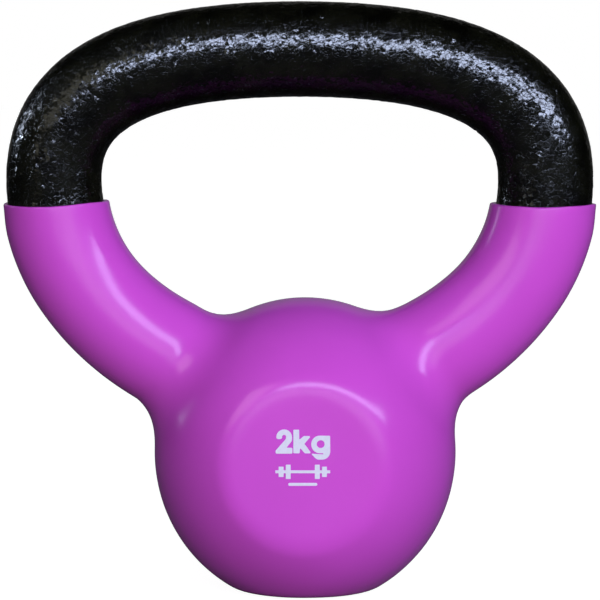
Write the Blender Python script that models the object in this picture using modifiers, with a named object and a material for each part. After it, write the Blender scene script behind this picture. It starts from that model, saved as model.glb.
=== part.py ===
"""A 2 kg kettlebell: a cast iron ball and handle in one piece, a black enamelled grip, and a vinyl
coat that is dipped over the ball and the two horns and ends in a lip on each side of the grip.

The frame's origin is the centre of the base, +Z is up, +X runs along the grip and the printed
front faces -Y. Every skin of the kettlebell is the same outer form, drawn in by its own depth.
"""

import math

import bmesh
import bpy
import numpy as np
from mathutils import Matrix, Vector

# Driving dimensions, in metres.
BALL_WIDTH = 0.0736
BALL_DEPTH = 0.0706
BALL_HEIGHT = 0.0756
BALL_OFFSET = 0.0013
DISC_CUT = 0.0052
DISC_ROUNDING = 0.0015
BASE_CUT = 0.0038
BASE_ROUNDING = 0.0015

GRIP_RADIUS = 0.01155
GRIP_RISE = 0.0982
GRIP_REACH = 0.0394
SHOULDER_HALF_WIDTH = 0.0597
SHOULDER_RISE = 0.0666
SHOULDER_REACH_UP = 0.0221
SHOULDER_REACH_DOWN = 0.0292
HORN_ANGLE = math.radians(37.2)
HORN_FOOT = 0.0398
HORN_FOOT_REACH = 0.0024
HORN_FLARE = 0.0006
FLARE_RISE = 0.0410
FLARE_LENGTH = 0.0230
HORN_FILLET = 0.0070

COAT_WALL = 0.0018
ENAMEL_FILM = 0.0003
LIP_RISE = 0.0607
SKIN_GAP = 0.0003

PRINT_THICKNESS = 0.0003
PRINT_GAP = 0.0003
NUMERAL_HEIGHT = 0.00578
NUMERAL_RISE = 0.0033
PRINT_OFFSET = 0.0007
EMBLEM_WIDTH = 0.0130
EMBLEM_HEIGHT = 0.0034
EMBLEM_GAP = 0.0012
RULE_WIDTH = 0.0069
RULE_HEIGHT = 0.0007
RULE_GAP = 0.00095

# The left end and the corners of each printed letter, in hundredths of the numeral's height. Each
# corner is (x, y, corner radius).
NUMERAL_LEFTS = (-111.2, -38.6, 33.7)
NUMERAL_2 = (
    (2.8, 100, 32),
    (67.2, 100, 32),
    (67.2, 52.8, 21),
    (44.2, 24.9, 1.5),
    (68.7, 24.5, 5),
    (68.7, 0, 5),
    (0, 0, 6),
    (0, 13, 7),
    (42.5, 61.4, 13),
    (42.5, 78, 7.9),
    (26.6, 78, 7.9),
    (26.6, 60.3, 9),
    (2.8, 60.3, 7.5),
)
LETTER_K = (
    (0, 99, 3.5),
    (24, 99, 3.5),
    (24.5, 57, 2),
    (42, 73, 8),
    (72.5, 73, 4),
    (45.5, 41, 1.5),
    (74, 1.5, 4),
    (47, 1.5, 7),
    (26.8, 25, 2.5),
    (26.8, 1.5, 5),
    (0, 1.5, 5),
)
LETTER_G = (
    (1, 75.3, 35.4),
    (78.3, 73.8, 3.5),
    (79.4, -24.5, 34),
    (23.6, -24.5, 24),
    (0, 0.4, 2),
    (50.4, -3, 1),
    (50.4, 2.1, 1),
    (1, 2.1, 35.4),
)
LETTER_G_COUNTER = ((23.7, 55.5, 15.9), (55.7, 55.5, 15.9), (55.7, 23.5, 15.9), (23.7, 23.5, 15.9))
LETTERS = {
    "printed_numeral_2": (NUMERAL_2,),
    "printed_letter_k": (LETTER_K,),
    "printed_letter_g": (LETTER_G, LETTER_G_COUNTER),
}

# How finely the outer form is cut into faces.
BALL_GRID = 6
HORN_GRID = 3
RING_SPACING = 0.0100
CURVE_POINTS = 160
SETTLE_STEPS = 8
SLOPE_STEP = 1e-6
MERGE_DISTANCE = 1e-6
WHOLE_DIGITS = 8
ARC_STEP = math.radians(22)

# Sizes that follow from the ones above.
HORN_RADIUS = GRIP_RADIUS + COAT_WALL - ENAMEL_FILM
CORE_DEPTH = COAT_WALL + SKIN_GAP
ENAMEL_DEPTH = CORE_DEPTH - SKIN_GAP - ENAMEL_FILM
BASE_DROP = BALL_HEIGHT / 2 - BASE_CUT
LIP_HEIGHT = BASE_DROP + LIP_RISE
BALL_CENTRE = np.array((BALL_OFFSET, 0.0, BASE_DROP))
BALL_AXES = np.array((BALL_WIDTH, BALL_DEPTH, BALL_HEIGHT)) / 2
RING_SIDES = 4 * HORN_GRID
DISC_SPAN = BALL_DEPTH - 2 * DISC_CUT
PRINT_PLANE = -DISC_SPAN / 2 - PRINT_GAP - PRINT_THICKNESS / 2
LETTER_UNIT = NUMERAL_HEIGHT / 100
LETTER_FOOT = NUMERAL_RISE + min(y for x, y, radius in LETTER_G) * LETTER_UNIT
EMBLEM_RISE = LETTER_FOOT - EMBLEM_GAP - EMBLEM_HEIGHT / 2
RULE_RISE = EMBLEM_RISE - EMBLEM_HEIGHT / 2 - RULE_GAP - RULE_HEIGHT / 2


# ---------------------------------------------------------------- the outer form


def bezier(start, start_handle, end_handle, end):
    """Points along one cubic curve in the plane of the handle, as (x, z) pairs."""
    t = np.linspace(0, 1, CURVE_POINTS)[:, None]
    start, start_handle, end_handle, end = map(np.array, (start, start_handle, end_handle, end))
    return (
        (1 - t) ** 3 * start
        + 3 * (1 - t) ** 2 * t * start_handle
        + 3 * (1 - t) * t**2 * end_handle
        + t**3 * end
    )


def loop_centreline():
    """Half of the handle's centreline, from the top of the grip to the foot of the horn."""
    top = (0, BASE_DROP + GRIP_RISE)
    shoulder = (SHOULDER_HALF_WIDTH, BASE_DROP + SHOULDER_RISE)
    along_horn = np.array((math.cos(HORN_ANGLE), math.sin(HORN_ANGLE)))
    foot = np.array((0, BASE_DROP)) + HORN_FOOT * along_horn
    over = bezier(
        top,
        (GRIP_REACH, top[1]),
        (shoulder[0], shoulder[1] + SHOULDER_REACH_UP),
        shoulder,
    )
    down = bezier(
        shoulder,
        (shoulder[0], shoulder[1] - SHOULDER_REACH_DOWN),
        foot + HORN_FOOT_REACH * along_horn,
        foot,
    )
    return np.concatenate((over, down[1:]))


CENTRELINE = loop_centreline()
ROOT_RUN = np.linspace(CENTRELINE[-1], (0, BASE_DROP), CURVE_POINTS)[1:]
LOOP_POINTS = np.concatenate((CENTRELINE, ROOT_RUN))


def horn_radii():
    """The handle's radius at each point of the loop: the horns flare a little towards the ball."""
    share = np.clip((BASE_DROP + FLARE_RISE - LOOP_POINTS[:, 1]) / FLARE_LENGTH, 0, 1)
    return HORN_RADIUS + HORN_FLARE * share**2 * (3 - 2 * share)


LOOP_RADII = horn_radii()


def round_min(a, b, blend):
    """The smaller of two distances, with a fillet of this size where they meet."""
    share = np.clip(0.5 + 0.5 * (b - a) / blend, 0, 1)
    return b * (1 - share) + a * share - blend * share * (1 - share)


def round_max(a, b, blend):
    return -round_min(-a, -b, blend)


def outer_form(points):
    """How far each point lies outside the finished kettlebell; inside, it is negative."""
    local = points - BALL_CENTRE
    reach = np.linalg.norm(local / BALL_AXES, axis=1)
    slope = np.linalg.norm(local / BALL_AXES**2, axis=1) / reach
    ball = (reach - 1) / slope
    ball = round_max(ball, np.abs(local[:, 1]) - DISC_SPAN / 2, DISC_ROUNDING)
    ball = round_max(ball, -points[:, 2], BASE_ROUNDING)
    across = np.abs(points[:, 0])[:, None] - LOOP_POINTS[:, 0]
    upward = points[:, 2][:, None] - LOOP_POINTS[:, 1]
    horn = np.sqrt(across**2 + upward**2 + points[:, 1:2] ** 2) - LOOP_RADII
    return round_min(ball, horn.min(axis=1), HORN_FILLET)


def slope_of_form(points):
    """The outward direction of the form at each point."""
    slope = np.empty_like(points)
    for axis in range(3):
        step = np.zeros(3)
        step[axis] = SLOPE_STEP
        rise = outer_form(points + step) - outer_form(points - step)
        slope[:, axis] = rise / (2 * SLOPE_STEP)
    return slope


# ---------------------------------------------------------------- the skin's faces


def ring_stations():
    """Evenly spaced places along the horn and grip, from just outside the ball to the top.

    Each is a centre point and the direction across the tube, both in the plane of the handle.
    """
    from_ball = np.linalg.norm(CENTRELINE - (0, BASE_DROP), axis=1)
    nearest = max(BALL_AXES) + HORN_FILLET / 2
    last = int(np.flatnonzero(from_ball > nearest)[-1])
    runs = np.linalg.norm(np.diff(CENTRELINE[: last + 1], axis=0), axis=1)
    travelled = np.concatenate(((0,), np.cumsum(runs)))
    count = round(travelled[-1] / RING_SPACING) + 1
    stations = []
    for distance in np.linspace(travelled[-1], 0, count):
        index = int(np.abs(travelled - distance).argmin())
        before = CENTRELINE[max(index - 1, 0)]
        along = CENTRELINE[index + 1] - before
        if index == 0:
            along = np.array((1.0, 0.0))
        along /= np.linalg.norm(along)
        stations.append((CENTRELINE[index], np.array((-along[1], along[0]))))
    return stations


def draw_out_horn(cage, side, stations):
    """Extrudes the open patch on one side of the ball, ring by ring, to the middle of the grip."""
    edges = [edge for edge in cage.edges if edge.is_boundary and side * edge.verts[0].co.x > 0]
    rim = {vert for edge in edges for vert in edge.verts}
    middle = sum((vert.co for vert in rim), Vector()) / len(rim)
    across = stations[0][1]
    corner = math.pi / 4
    step = 2 * math.pi / RING_SIDES
    angles = {}
    for vert in rim:
        local = vert.co - middle
        angle = math.atan2(local.y, side * local.x * across[0] + local.z * across[1])
        angles[vert] = corner + step * round((angle - corner) / step)
    for centre, across in stations:
        made = bmesh.ops.extrude_edge_only(cage, edges=edges)["geom"]
        edges = [item for item in made if isinstance(item, bmesh.types.BMEdge)]
        edges = [edge for edge in edges if edge.is_boundary]
        new_angles = {}
        for vert in {vert for edge in edges for vert in edge.verts}:
            old = next(edge.other_vert(vert) for edge in vert.link_edges if edge.other_vert(vert) in angles)
            new_angles[vert] = angles[old]
            lift = across * HORN_RADIUS * math.cos(angles[old])
            vert.co = (
                side * (centre[0] + lift[0]),
                HORN_RADIUS * math.sin(angles[old]),
                centre[1] + lift[1],
            )
        angles = new_angles


def outer_skin():
    """The closed outside as triangles: a rounded cube whose two upper faces grow into the horns."""
    cage = bmesh.new()
    bmesh.ops.create_cube(cage, size=2)
    bmesh.ops.subdivide_edges(cage, edges=cage.edges[:], cuts=BALL_GRID - 1, use_grid_fill=True)
    limit = HORN_GRID / BALL_GRID
    patches = []
    for face in cage.faces:
        x, y, z = face.calc_center_median()
        if abs(y) < limit and max(x, z) > 0.99 and abs(min(x, z)) < limit:
            patches.append(face)
    bmesh.ops.delete(cage, geom=patches, context="FACES")
    turn = Matrix.Rotation(-math.pi / 4, 3, "Y")
    for vert in cage.verts:
        even = Vector([math.tan(value * math.pi / 4) for value in vert.co]).normalized()
        vert.co = (turn @ even) * max(BALL_AXES) + Vector(BALL_CENTRE)
    stations = ring_stations()
    for side in (1, -1):
        draw_out_horn(cage, side, stations)
    bmesh.ops.remove_doubles(cage, verts=cage.verts[:], dist=MERGE_DISTANCE)
    bmesh.ops.recalc_face_normals(cage, faces=cage.faces[:])
    mesh = bpy.data.meshes.new("outer_skin")
    cage.to_mesh(mesh)
    cage.free()
    guide = bpy.data.objects.new("outer_skin", mesh)
    GUIDES.objects.link(guide)
    guide.hide_render = True
    guide.display_type = "WIRE"
    soften = guide.modifiers.new("Subdivision", "SUBSURF")
    soften.levels = 1
    soften.render_levels = 1
    graph = bpy.context.evaluated_depsgraph_get()
    fine = bmesh.new()
    fine.from_mesh(guide.evaluated_get(graph).to_mesh())
    bmesh.ops.triangulate(fine, faces=fine.faces[:])
    skin = bpy.data.meshes.new("fine_skin")
    fine.to_mesh(skin)
    fine.free()
    return skin


def drawn_in(skin, depth):
    """A copy of the skin, settled onto the form this far below the finished surface."""
    mesh = skin.copy()
    flat = np.empty(len(mesh.vertices) * 3, np.float32)
    mesh.vertices.foreach_get("co", flat)
    points = flat.reshape(-1, 3).astype(np.float64)
    for _ in range(SETTLE_STEPS):
        slope = slope_of_form(points)
        excess = outer_form(points) + depth
        points -= slope * (excess / (slope**2).sum(axis=1))[:, None]
    points = np.round(points, WHOLE_DIGITS)
    mesh.vertices.foreach_set("co", points.astype(np.float32).ravel())
    return mesh


# ---------------------------------------------------------------- materials and objects


def material(name, colour, roughness, metallic=0.0):
    made = bpy.data.materials.new(name)
    made.use_nodes = True
    shader = made.node_tree.nodes["Principled BSDF"]
    shader.inputs["Base Color"].default_value = (*colour, 1)
    shader.inputs["Roughness"].default_value = roughness
    shader.inputs["Metallic"].default_value = metallic
    made.diffuse_color = (*colour, 1)
    return made


def add_part(name, data, finish):
    data.name = name
    data.materials.clear()
    data.materials.append(finish)
    part = bpy.data.objects.new(name, data)
    PARTS.objects.link(part)
    part.parent = ROOT
    return part


def make_core(skin):
    mesh = drawn_in(skin, CORE_DEPTH)
    mesh.shade_smooth()
    add_part("core_casting", mesh, material("Cast iron", (0.09, 0.09, 0.095), 0.7, 0.7))


def make_shell(name, skin, depth, wall, height, above, finish):
    """A skin of even thickness on one side of a level cut, closed by a flat rim at each cut."""
    shell = bmesh.new()
    outside = drawn_in(skin, depth)
    inside = drawn_in(skin, depth + wall)
    inside.flip_normals()
    shell.from_mesh(outside)
    shell.from_mesh(inside)
    bpy.data.meshes.remove(outside)
    bpy.data.meshes.remove(inside)
    bmesh.ops.bisect_plane(
        shell,
        geom=shell.verts[:] + shell.edges[:] + shell.faces[:],
        dist=MERGE_DISTANCE,
        plane_co=(0, 0, height),
        plane_no=(0, 0, 1),
        clear_outer=not above,
        clear_inner=above,
    )
    for side in (1, -1):
        rims = [edge for edge in shell.edges if edge.is_boundary and side * edge.verts[0].co.x > 0]
        bmesh.ops.bridge_loops(shell, edges=rims)
    bmesh.ops.recalc_face_normals(shell, faces=shell.faces[:])
    mesh = bpy.data.meshes.new(name)
    shell.to_mesh(mesh)
    shell.free()
    mesh.shade_smooth()
    mesh.set_sharp_from_angle(angle=math.radians(50))
    add_part(name, mesh, finish)


# ---------------------------------------------------------------- the print on the front disc


def stand_on_front(part, x, rise):
    """Stands a flat piece, drawn in its own XY plane, just off the front disc.

    Its place is x from the print's middle and rise above the ball's middle.
    """
    part.location = (PRINT_OFFSET + x, PRINT_PLANE, BASE_DROP + rise)
    part.rotation_euler = (math.pi / 2, 0, 0)


def rounded_outline(corners, size):
    """The points of a closed outline whose corners are (x, y, radius), all scaled by size."""
    outline = []
    for index, (x, y, radius) in enumerate(corners):
        corner = Vector((x, y))
        back = (Vector(corners[index - 1][:2]) - corner).normalized()
        ahead = (Vector(corners[(index + 1) % len(corners)][:2]) - corner).normalized()
        opening = back.angle(ahead)
        centre = corner + (back + ahead).normalized() * radius / math.sin(opening / 2)
        start = corner + back * radius / math.tan(opening / 2) - centre
        turn = math.pi - opening
        if back.x * ahead.y - back.y * ahead.x > 0:
            turn = -turn
        steps = max(1, round(abs(turn) / ARC_STEP))
        for step in range(steps + 1):
            outline.append((centre + Matrix.Rotation(turn * step / steps, 2) @ start) * size)
    return outline


def plate(name, outlines):
    """A flat plate of the print's thickness, from an outline and the outlines of its holes."""
    curve = bpy.data.curves.new(name, "CURVE")
    curve.dimensions = "2D"
    curve.fill_mode = "BOTH"
    curve.extrude = PRINT_THICKNESS / 2
    for outline in outlines:
        spline = curve.splines.new("POLY")
        spline.points.add(len(outline) - 1)
        for point, (x, y) in zip(spline.points, outline):
            point.co = (x, y, 0, 1)
        spline.use_cyclic_u = True
    return curve


def barbell_outline():
    """A bar through an inner and an outer plate at each end, as steps of (x, half height)."""
    bar, plate_1, plate_2 = 0.10, 0.50, 0.36
    steps = (
        (0.22, bar),
        (0.22, plate_1),
        (0.31, plate_1),
        (0.31, bar),
        (0.35, bar),
        (0.35, plate_2),
        (0.44, plate_2),
        (0.44, bar),
        (0.50, bar),
    )
    upper = [(x * EMBLEM_WIDTH, y * EMBLEM_HEIGHT) for x, y in steps]
    right = upper + [(x, -y) for x, y in reversed(upper)]
    return right + [(-x, -y) for x, y in right]


def make_print():
    ink = material("White screen print", (0.78, 0.76, 0.88), 0.5)
    for (name, shapes), left in zip(LETTERS.items(), NUMERAL_LEFTS):
        outlines = [rounded_outline(shape, LETTER_UNIT) for shape in shapes]
        stand_on_front(add_part(name, plate(name, outlines), ink), left * LETTER_UNIT, NUMERAL_RISE)
    emblem = add_part("printed_emblem", plate("printed_emblem", [barbell_outline()]), ink)
    stand_on_front(emblem, 0, EMBLEM_RISE)
    x, y = RULE_WIDTH / 2, RULE_HEIGHT / 2
    corners = [(x, y, y), (x, -y, y), (-x, -y, y), (-x, y, y)]
    rule = add_part("printed_rule", plate("printed_rule", [rounded_outline(corners, 1)]), ink)
    stand_on_front(rule, 0, RULE_RISE)


# ---------------------------------------------------------------- the kettlebell


for leftover in list(bpy.data.objects):
    bpy.data.objects.remove(leftover, do_unlink=True)

PARTS = bpy.data.collections.new("Kettlebell")
GUIDES = bpy.data.collections.new("Guides")
for collection in (PARTS, GUIDES):
    bpy.context.scene.collection.children.link(collection)
ROOT = bpy.data.objects.new("kettlebell", None)
PARTS.objects.link(ROOT)

SKIN = outer_skin()
make_core(SKIN)
make_shell(
    "handle_enamel",
    SKIN,
    ENAMEL_DEPTH,
    ENAMEL_FILM,
    LIP_HEIGHT + SKIN_GAP,
    True,
    material("Black hammered enamel", (0.012, 0.012, 0.011), 0.3),
)
make_shell(
    "vinyl_coat",
    SKIN,
    0.0,
    COAT_WALL,
    LIP_HEIGHT,
    False,
    material("Purple vinyl", (0.55, 0.07, 0.65), 0.35),
)
make_print()
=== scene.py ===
"""A 2 kg kettlebell: an iron casting, black hammered enamel on the grip, a purple vinyl dip
coat and the screen print on its front disc.

Everything is in metres. The frame's origin is the centre of the base, +Z is up, +X runs along the
grip and the printed front faces -Y.
"""

import math

import bmesh
import bpy
import numpy as np
from mathutils import Matrix, Vector, noise
from mathutils.kdtree import KDTree


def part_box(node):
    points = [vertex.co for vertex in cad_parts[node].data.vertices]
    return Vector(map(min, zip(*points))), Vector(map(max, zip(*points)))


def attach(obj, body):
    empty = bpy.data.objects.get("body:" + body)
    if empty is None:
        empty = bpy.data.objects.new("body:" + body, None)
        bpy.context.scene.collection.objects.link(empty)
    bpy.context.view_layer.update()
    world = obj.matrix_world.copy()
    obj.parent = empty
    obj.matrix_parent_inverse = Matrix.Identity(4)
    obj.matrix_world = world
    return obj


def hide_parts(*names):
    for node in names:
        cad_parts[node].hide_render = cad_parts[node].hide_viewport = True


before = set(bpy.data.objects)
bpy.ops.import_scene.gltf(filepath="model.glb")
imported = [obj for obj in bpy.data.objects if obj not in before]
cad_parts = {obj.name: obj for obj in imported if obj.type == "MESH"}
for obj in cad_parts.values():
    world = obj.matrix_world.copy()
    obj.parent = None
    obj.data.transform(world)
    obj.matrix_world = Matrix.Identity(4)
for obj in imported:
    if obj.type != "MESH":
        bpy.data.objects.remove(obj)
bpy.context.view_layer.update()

bl_info = {
    "name": "Vinyl dipped kettlebell",
    "version": (1, 0, 0),
    "blender": (4, 5, 0),
    "location": "View3D > Sidebar > Kettlebell",
    "description": "Builds the coat, the enamel and the print of a kettlebell around its casting",
    "category": "Add Mesh",
}

# ---------------------------------------------------------------- sizes of the casting

BALL_WIDTH = 0.0736
BALL_DEPTH = 0.0706
BALL_HEIGHT = 0.0756
BALL_OFFSET = 0.0013
DISC_CUT = 0.0052
DISC_ROUNDING = 0.0015
BASE_CUT = 0.0038
BASE_ROUNDING = 0.0015
GRIP_RADIUS = 0.01155
GRIP_RISE = 0.0982
GRIP_REACH = 0.0394
SHOULDER_HALF_WIDTH = 0.0597
SHOULDER_RISE = 0.0666
SHOULDER_REACH_UP = 0.0221
SHOULDER_REACH_DOWN = 0.0292
HORN_ANGLE = math.radians(37.2)
HORN_FOOT = 0.0398
HORN_FOOT_REACH = 0.0024
HORN_FLARE = 0.0006
FLARE_RISE = 0.0410
FLARE_LENGTH = 0.0230
HORN_FILLET = 0.0070
COAT_WALL = 0.0018
ENAMEL_FILM = 0.0003

# Sizes that follow from the ones above.
LIP_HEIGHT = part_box("vinyl_coat")[1].z
HORN_RADIUS = GRIP_RADIUS + COAT_WALL - ENAMEL_FILM
ENAMEL_DEPTH = HORN_RADIUS - GRIP_RADIUS
BASE_DROP = BALL_HEIGHT / 2 - BASE_CUT
BALL_CENTRE = np.array((BALL_OFFSET, 0.0, BASE_DROP))
BALL_AXES = np.array((BALL_WIDTH, BALL_DEPTH, BALL_HEIGHT)) / 2
DISC_REACH = BALL_DEPTH / 2 - DISC_CUT

# How finely the skins are cut, and how they are settled onto the form.
BALL_GRID = 8
HORN_GRID = 4
RING_SPACING = 0.0075
SKIN_LEVELS = 3
SETTLE_STEPS = 7
LEAST_SLOPE = 0.05
CURVE_POINTS = 240
GRIP_SIDES = 176
GRIP_RINGS = 470
GRIP_INNER_RINGS = 40
LIP_STEPS = 6
ARC_STEP = math.radians(6)

# The lip's drift round each horn, as (height, waves in a turn, start, start's share of the side),
# and the bay on the horns' inner side, in lengths of the lip waver.
LIP_WAVES = ((0.25, 2, 0.0, 0.7), (0.2, 3, 0.4, 1.9), (0.1, 7, 0.0, 2.1))
LEFT_BAY = 2.6
RIGHT_BAY = 0.4
BAY_TURN = 0.25

# How far below the lip its drift, its thinning and its evenness begin.
DRIFT_REACH = 0.010
THINNING_REACH = 0.008
EVEN_REACH = 0.004

# The lip's shelf over the enamel, as (share of the shelf's width, height over the lip).
LIP_SHELF = ((0.5, -0.00003), (0.85, -0.00010))
SHELF_END = 0.00003
SHELF_END_DROP = 0.00022
ENAMEL_DROP = 0.00055
CASTING_DROP = 0.00060

# The enamel's end under the lip, where its rings turn level and its hammering begins.
ENAMEL_TUCK = 0.00040
LEVEL_REACH = 0.012
HAMMERED_FROM = -0.0003
HAMMERED_FULLY = 0.0008

# The hammered relief, in widths of a facet and in hammer depths.
HALF = Vector((0.5, 0.5, 0.5))
FACET_BEND = 0.45
FACET_LEAN = 2.6
FACET_RIPPLE = 0.3
FACET_SINK = 0.4
GROOVE_WIDTH = 0.25
GROOVE_DEPTH = 0.5
CELL_SPREAD = 37.0
HAMMER_SEED = 2

# The unevenness of the vinyl, as (height, waves in a metre).
COAT_WAVES = ((1.0, 55), (0.4, 130))

# The colours that aren't a setting.
PALE_SPECK = (0.75, 0.45, 0.8)
RUST = (0.16, 0.06, 0.025)

# The studio: each lamp's (azimuth, elevation, distance), its (width, height), its colour, and the
# pieces that it is kept to, if any. Angles are in degrees.
COOL = (0.64, 0.73, 1.0)
PALE_BLUE = (0.7, 0.8, 1.0)
LAMPS = {
    "key": ((27, 27, 1.3), (1.8, 0.24), COOL, ()),
    "edge_strip": ((-113, 15, 1.0), (0.05, 0.30), PALE_BLUE, ()),
    "front_fill": ((9, 6, 1.6), (1.5, 0.4), (1.0, 0.93, 0.86), ()),
    "key_skirt": ((12, 10, 1.3), (1.9, 0.62), (0.75, 0.82, 1.0), ("dipped_coat",)),
    "grip_band": ((26, 29, 1.28), (1.9, 0.30), COOL, ("hammered_enamel",)),
    "left_wing": (
        (-36, 26, 1.3), (0.6, 0.7), (1.0, 0.97, 0.78), ("hammered_enamel", "dipped_coat")
    ),
    "grip_edge": ((-113, 20, 1.0), (0.10, 0.20), PALE_BLUE, ("hammered_enamel",)),
}
LIGHT_AIM = Vector((0, 0, 0.07))
WHITE = (1, 1, 1, 1)
ROOM_TINT = (1.0, 0.98, 0.96, 1)
ROOM_LIGHT = (0.08, 0.12)
BACKDROP_LIGHT = 0.22
FRONT_LIGHT = (0.01, 0.06)
FLOOR_RADIUS = 3.0
FLOOR_GAP = 0.0001
CAMERA_AIM = Vector((0.00005, 0, 0.0712))
CAMERA_ELEVATION = math.radians(5)
CAMERA_DISTANCE = 0.974
CAMERA_LENS = 240
CAMERA_SENSOR = 36

# The printed letters' corners as (x, y, corner radius), in hundredths of the numeral's height.
NUMERAL_2 = (
    (2.8, 100, 32),
    (67.2, 100, 32),
    (67.2, 52.8, 21),
    (44.2, 24.9, 1.5),
    (68.7, 24.5, 5),
    (68.7, 0, 5),
    (0, 0, 6),
    (0, 13, 7),
    (42.5, 61.4, 13),
    (42.5, 78, 7.9),
    (26.6, 78, 7.9),
    (26.6, 60.3, 9),
    (2.8, 60.3, 7.5),
)
LETTER_K = (
    (0, 99, 3.5),
    (24, 99, 3.5),
    (24.5, 57, 2),
    (42, 73, 8),
    (72.5, 73, 4),
    (45.5, 41, 1.5),
    (74, 1.5, 4),
    (47, 1.5, 7),
    (26.8, 25, 2.5),
    (26.8, 1.5, 5),
    (0, 1.5, 5),
)
LETTER_G = (
    (1, 75.3, 35.4),
    (78.3, 73.8, 3.5),
    (79.4, -24.5, 34),
    (23.6, -24.5, 24),
    (0, 0.4, 2),
    (50.4, -3, 1),
    (50.4, 2.1, 1),
    (1, 2.1, 35.4),
)
LETTER_G_COUNTER = (
    (23.7, 55.5, 15.9),
    (55.7, 55.5, 15.9),
    (55.7, 23.5, 15.9),
    (23.7, 23.5, 15.9),
)

# One end of the barbell mark, as (share of its width, share of its height), and its corners.
BAR, INNER_PLATE, OUTER_PLATE = 0.10, 0.50, 0.36
BARBELL_STEPS = (
    (0.22, BAR),
    (0.22, INNER_PLATE),
    (0.31, INNER_PLATE),
    (0.31, BAR),
    (0.35, BAR),
    (0.35, OUTER_PLATE),
    (0.44, OUTER_PLATE),
    (0.44, BAR),
    (0.50, BAR),
)
BARBELL_ROUNDING = 0.00010
RULE_ROUNDING = 0.98


# ---------------------------------------------------------------- the casting's outer form


def bezier(start, start_handle, end_handle, end):
    t = np.linspace(0, 1, CURVE_POINTS)[:, None]
    start, start_handle, end_handle, end = map(np.array, (start, start_handle, end_handle, end))
    return (
        (1 - t) ** 3 * start
        + 3 * (1 - t) ** 2 * t * start_handle
        + 3 * (1 - t) * t**2 * end_handle
        + t**3 * end
    )


def loop_centreline():
    """Half of the handle's centreline as (x, z), from the grip's top to the foot of the horn."""
    top = (0, BASE_DROP + GRIP_RISE)
    shoulder = (SHOULDER_HALF_WIDTH, BASE_DROP + SHOULDER_RISE)
    along_horn = np.array((math.cos(HORN_ANGLE), math.sin(HORN_ANGLE)))
    foot = np.array((0, BASE_DROP)) + HORN_FOOT * along_horn
    over_handle = (shoulder[0], shoulder[1] + SHOULDER_REACH_UP)
    over = bezier(top, (GRIP_REACH, top[1]), over_handle, shoulder)
    under_handle = (shoulder[0], shoulder[1] - SHOULDER_REACH_DOWN)
    down = bezier(shoulder, under_handle, foot + HORN_FOOT_REACH * along_horn, foot)
    return np.concatenate((over, down[1:]))


def ease(low, high, value):
    share = np.clip((value - low) / (high - low), 0, 1)
    return share * share * (3 - 2 * share)


CENTRELINE = loop_centreline()
ROOT_RUN = np.linspace(CENTRELINE[-1], (0, BASE_DROP), CURVE_POINTS)[1:]
LOOP_POINTS = np.concatenate((CENTRELINE, ROOT_RUN))
FLARE_TOP = BASE_DROP + FLARE_RISE
FLARE = ease(-FLARE_TOP, FLARE_LENGTH - FLARE_TOP, -LOOP_POINTS[:, 1])
LOOP_RADII = HORN_RADIUS + HORN_FLARE * FLARE
LOOP_TANGENTS = np.gradient(LOOP_POINTS, axis=0)
LOOP_TANGENTS /= np.linalg.norm(LOOP_TANGENTS, axis=1)[:, None]
LOOP_TREE = KDTree(len(LOOP_POINTS))
for place, (loop_x, loop_z) in enumerate(LOOP_POINTS):
    LOOP_TREE.insert((loop_x, loop_z, 0), place)
LOOP_TREE.balance()


def unit(vectors):
    return vectors / np.maximum(np.linalg.norm(vectors, axis=1), 1e-12)[:, None]


def round_min(a, slope_a, b, slope_b, blend):
    """The smaller of two distances and its slope, with a fillet of this size where they meet."""
    share = np.clip(0.5 + 0.5 * (b - a) / blend, 0, 1)
    value = b * (1 - share) + a * share - blend * share * (1 - share)
    return value, slope_b * (1 - share)[:, None] + slope_a * share[:, None]


def round_max(a, slope_a, b, slope_b, blend):
    value, slope = round_min(-a, -slope_a, -b, -slope_b, blend)
    return -value, -slope


def outer_form(points):
    """How far each point lies outside the finished kettlebell, and which way is outward."""
    local = points - BALL_CENTRE
    reach = np.linalg.norm(local / BALL_AXES, axis=1)
    pull = local / BALL_AXES**2 / reach[:, None]
    steep = np.linalg.norm(pull, axis=1)
    ball, ball_slope = (reach - 1) / steep, pull / steep[:, None]
    flat = np.zeros_like(points)
    flat[:, 1] = np.sign(points[:, 1])
    disc = np.abs(points[:, 1]) - DISC_REACH
    ball, ball_slope = round_max(ball, ball_slope, disc, flat, DISC_ROUNDING)
    down = np.zeros_like(points)
    down[:, 2] = -1
    ball, ball_slope = round_max(ball, ball_slope, -points[:, 2], down, BASE_ROUNDING)
    nearest = np.array([LOOP_TREE.find((abs(x), z, 0))[1] for x, _, z in points])
    offset = np.stack((np.abs(points[:, 0]), points[:, 2]), axis=1) - LOOP_POINTS[nearest]
    tangent = LOOP_TANGENTS[nearest]
    offset -= (offset * tangent).sum(axis=1)[:, None] * tangent
    away = np.stack((offset[:, 0] * np.sign(points[:, 0]), points[:, 1], offset[:, 1]), axis=1)
    tube = np.linalg.norm(away, axis=1) - LOOP_RADII[nearest]
    return round_min(ball, ball_slope, tube, unit(away), HORN_FILLET)


def settle(points, depth, level=None):
    """Moves the points onto the form, this far inside it; the level ones keep their height."""
    points = points.copy()
    for _ in range(SETTLE_STEPS):
        excess, slope = outer_form(points)
        if level is not None:
            slope[level, 2] = 0
        steepness = np.maximum((slope**2).sum(axis=1), LEAST_SLOPE)
        points -= slope * ((excess + depth) / steepness)[:, None]
    return points


def lip_centre():
    """How far out the horn's middle is at the lip."""
    horn = CENTRELINE[CURVE_POINTS:]
    return float(np.interp(-LIP_HEIGHT, -horn[:, 1], horn[:, 0]))


LIP_CENTRE = lip_centre()


def round_horn(points):
    """Which horn each point is on, -1 or 1, and how far round it from its outer side."""
    side = np.sign(points[:, 0])
    return side, np.arctan2(points[:, 1], side * points[:, 0] - LIP_CENTRE)


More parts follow.
